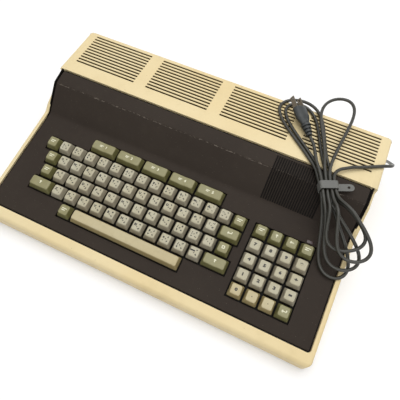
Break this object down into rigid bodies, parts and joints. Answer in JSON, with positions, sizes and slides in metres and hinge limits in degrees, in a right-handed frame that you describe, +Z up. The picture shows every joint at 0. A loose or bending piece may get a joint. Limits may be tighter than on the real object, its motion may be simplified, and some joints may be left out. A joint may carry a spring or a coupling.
{
  "type": "home computer",
  "caption": "Home computer in a cream wedge case: sunken dark keyboard with light, olive and cream keys, ribbed slope, slotted rear deck, mains lead folded and tied on top.",
  "frame": {"origin": "middle of the case's footprint, on the table", "axes": "+X to the user's right, +Y towards the rear edge, +Z up"},
  "size_m": [0.4539, 0.3502, 0.0979],
  "materials": {
    "cream_shell": "fine grain",
    "dark_panel": "fine grain",
    "dark_plate": "satin",
    "foot_rubber": "matte",
    "steel": "plain",
    "board": "satin",
    "black_plastic": "satin",
    "core": "satin",
    "cooler": "plain",
    "capacitor_sleeve": "gloss",
    "red_plastic": "gloss",
    "ribbon": "satin",
    "cord_jacket": "satin",
    "tie_rubber": "matte",
    "olive_keys": "fine grain",
    "pale_keys": "fine grain",
    "creamy_keys": "fine grain"
  },
  "bodies": {
    "case": {"lower_case": "cream_shell", "upper_case": "cream_shell", "keyboard_bezel": "dark_panel", "rear_panel": "dark_plate", "rubber_feet": "foot_rubber", "case_screws": "steel", "main_board": "board", "board_chips": "black_plastic", "key_plate": "steel", "key_board": "board", "key_switches": "black_plastic", "power_board": "board", "transformer": "core", "heatsink": "cooler", "capacitors": "capacitor_sleeve", "expansion_socket": "black_plastic", "round_sockets": "black_plastic", "switch_housing": "black_plastic", "power_lamp": "red_plastic", "beeper": "black_plastic", "ribbon_cable": "ribbon", "cord_gland": "cord_jacket", "cord_lead": "cord_jacket", "cord_hank": "cord_jacket", "mains_plug": "cord_jacket", "plug_blades": "steel", "cord_tie": "tie_rubber"},
    "f1_key_body": {"f1_key": "olive_keys"},
    "f2_key_body": {"f2_key": "olive_keys"},
    "f3_key_body": {"f3_key": "olive_keys"},
    "f4_key_body": {"f4_key": "olive_keys"},
    "f5_key_body": {"f5_key": "olive_keys"},
    "escape_key_body": {"escape_key": "olive_keys"},
    "stop_key_body": {"stop_key": "olive_keys"},
    "tab_key_body": {"tab_key": "olive_keys"},
    "return_key_body": {"return_key": "olive_keys"},
    "control_key_body": {"control_key": "olive_keys"},
    "mode_key_body": {"mode_key": "olive_keys"},
    "left_shift_key_body": {"left_shift_key": "olive_keys"},
    "right_shift_key_body": {"right_shift_key": "olive_keys"},
    "graph_key_body": {"graph_key": "olive_keys"},
    "pad_home_key_body": {"pad_home_key": "olive_keys"},
    "pad_up_key_body": {"pad_up_key": "olive_keys"},
    "pad_left_key_body": {"pad_left_key": "olive_keys"},
    "pad_insert_key_body": {"pad_insert_key": "olive_keys"},
    "pad_return_key_body": {"pad_return_key": "olive_keys"},
    "space_bar_body": {"space_bar": "creamy_keys"},
    "number_keys_body": {"number_keys": "pale_keys"},
    "upper_letter_keys_body": {"upper_letter_keys": "pale_keys"},
    "middle_letter_keys_body": {"middle_letter_keys": "pale_keys"},
    "lower_letter_keys_body": {"lower_letter_keys": "pale_keys"},
    "pad_seven_row_body": {"pad_seven_row": "pale_keys"},
    "pad_four_row_body": {"pad_four_row": "pale_keys"},
    "pad_one_row_body": {"pad_one_row": "pale_keys"},
    "pad_zero_row_body": {"pad_zero_row": "creamy_keys"},
    "reset_button_body": {"reset_button": "red_plastic"},
    "power_rocker_body": {"power_switch": "black_plastic"}
  },
  "joints": [
    {"name": "f1_key_press", "type": "slide", "parent": "case", "child": "f1_key_body", "axis": [0, 0.1452, -0.9894], "range_m": [0, 0.004], "stiffness_N_per_m": 120, "springref_m": -0.003},
    {"name": "f2_key_press", "type": "slide", "parent": "case", "child": "f2_key_body", "axis": [0, 0.1452, -0.9894], "range_m": [0, 0.004], "stiffness_N_per_m": 120, "springref_m": -0.003},
    {"name": "f3_key_press", "type": "slide", "parent": "case", "child": "f3_key_body", "axis": [0, 0.1452, -0.9894], "range_m": [0, 0.004], "stiffness_N_per_m": 120, "springref_m": -0.003},
    {"name": "f4_key_press", "type": "slide", "parent": "case", "child": "f4_key_body", "axis": [0, 0.1452, -0.9894], "range_m": [0, 0.004], "stiffness_N_per_m": 120, "springref_m": -0.003},
    {"name": "f5_key_press", "type": "slide", "parent": "case", "child": "f5_key_body", "axis": [0, 0.1452, -0.9894], "range_m": [0, 0.004], "stiffness_N_per_m": 120, "springref_m": -0.003},
    {"name": "escape_key_press", "type": "slide", "parent": "case", "child": "escape_key_body", "axis": [0, 0.1452, -0.9894], "range_m": [0, 0.004], "stiffness_N_per_m": 120, "springref_m": -0.003},
    {"name": "stop_key_press", "type": "slide", "parent": "case", "child": "stop_key_body", "axis": [0, 0.1452, -0.9894], "range_m": [0, 0.004], "stiffness_N_per_m": 120, "springref_m": -0.003},
    {"name": "tab_key_press", "type": "slide", "parent": "case", "child": "tab_key_body", "axis": [0, 0.1452, -0.9894], "range_m": [0, 0.004], "stiffness_N_per_m": 120, "springref_m": -0.003},
    {"name": "return_key_press", "type": "slide", "parent": "case", "child": "return_key_body", "axis": [0, 0.1452, -0.9894], "range_m": [0, 0.004], "stiffness_N_per_m": 120, "springref_m": -0.003},
    {"name": "control_key_press", "type": "slide", "parent": "case", "child": "control_key_body", "axis": [0, 0.1452, -0.9894], "range_m": [0, 0.004], "stiffness_N_per_m": 120, "springref_m": -0.003},
    {"name": "mode_key_press", "type": "slide", "parent": "case", "child": "mode_key_body", "axis": [0, 0.1452, -0.9894], "range_m": [0, 0.004], "stiffness_N_per_m": 120, "springref_m": -0.003},
    {"name": "left_shift_key_press", "type": "slide", "parent": "case", "child": "left_shift_key_body", "axis": [0, 0.1452, -0.9894], "range_m": [0, 0.004], "stiffness_N_per_m": 120, "springref_m": -0.003},
    {"name": "right_shift_key_press", "type": "slide", "parent": "case", "child": "right_shift_key_body", "axis": [0, 0.1452, -0.9894], "range_m": [0, 0.004], "stiffness_N_per_m": 120, "springref_m": -0.003},
    {"name": "graph_key_press", "type": "slide", "parent": "case", "child": "graph_key_body", "axis": [0, 0.1452, -0.9894], "range_m": [0, 0.004], "stiffness_N_per_m": 120, "springref_m": -0.003},
    {"name": "pad_home_key_press", "type": "slide", "parent": "case", "child": "pad_home_key_body", "axis": [0, 0.1452, -0.9894], "range_m": [0, 0.004], "stiffness_N_per_m": 120, "springref_m": -0.003},
    {"name": "pad_up_key_press", "type": "slide", "parent": "case", "child": "pad_up_key_body", "axis": [0, 0.1452, -0.9894], "range_m": [0, 0.004], "stiffness_N_per_m": 120, "springref_m": -0.003},
    {"name": "pad_left_key_press", "type": "slide", "parent": "case", "child": "pad_left_key_body", "axis": [0, 0.1452, -0.9894], "range_m": [0, 0.004], "stiffness_N_per_m": 120, "springref_m": -0.003},
    {"name": "pad_insert_key_press", "type": "slide", "parent": "case", "child": "pad_insert_key_body", "axis": [0, 0.1452, -0.9894], "range_m": [0, 0.004], "stiffness_N_per_m": 120, "springref_m": -0.003},
    {"name": "pad_return_key_press", "type": "slide", "parent": "case", "child": "pad_return_key_body", "axis": [0, 0.1452, -0.9894], "range_m": [0, 0.004], "stiffness_N_per_m": 120, "springref_m": -0.003},
    {"name": "space_bar_press", "type": "slide", "parent": "case", "child": "space_bar_body", "axis": [0, 0.1452, -0.9894], "range_m": [0, 0.004], "stiffness_N_per_m": 120, "springref_m": -0.003},
    {"name": "number_keys_press", "type": "slide", "parent": "case", "child": "number_keys_body", "axis": [0, 0.1452, -0.9894], "range_m": [0, 0.004], "stiffness_N_per_m": 1560, "springref_m": -0.003},
    {"name": "upper_letter_keys_press", "type": "slide", "parent": "case", "child": "upper_letter_keys_body", "axis": [0, 0.1452, -0.9894], "range_m": [0, 0.004], "stiffness_N_per_m": 1440, "springref_m": -0.003},
    {"name": "middle_letter_keys_press", "type": "slide", "parent": "case", "child": "middle_letter_keys_body", "axis": [0, 0.1452, -0.9894], "range_m": [0, 0.004], "stiffness_N_per_m": 1440, "springref_m": -0.003},
    {"name": "lower_letter_keys_press", "type": "slide", "parent": "case", "child": "lower_letter_keys_body", "axis": [0, 0.1452, -0.9894], "range_m": [0, 0.004], "stiffness_N_per_m": 1320, "springref_m": -0.003},
    {"name": "pad_seven_row_press", "type": "slide", "parent": "case", "child": "pad_seven_row_body", "axis": [0, 0.1452, -0.9894], "range_m": [0, 0.004], "stiffness_N_per_m": 480, "springref_m": -0.003},
    {"name": "pad_four_row_press", "type": "slide", "parent": "case", "child": "pad_four_row_body", "axis": [0, 0.1452, -0.9894], "range_m": [0, 0.004], "stiffness_N_per_m": 480, "springref_m": -0.003},
    {"name": "pad_one_row_press", "type": "slide", "parent": "case", "child": "pad_one_row_body", "axis": [0, 0.1452, -0.9894], "range_m": [0, 0.004], "stiffness_N_per_m": 480, "springref_m": -0.003},
    {"name": "pad_zero_row_press", "type": "slide", "parent": "case", "child": "pad_zero_row_body", "axis": [0, 0.1452, -0.9894], "range_m": [0, 0.004], "stiffness_N_per_m": 360, "springref_m": -0.003},
    {"name": "reset_press", "type": "slide", "parent": "case", "child": "reset_button_body", "axis": [0, -1, 0], "range_m": [0, 0.002], "stiffness_N_per_m": 150, "springref_m": -0.002},
    {"name": "power_rocker", "type": "hinge", "parent": "case", "child": "power_rocker_body", "pos_m": [0.095, 0.1375, 0.038], "axis": [1, 0, 0], "range_deg": [-8, 8]}
  ]
}
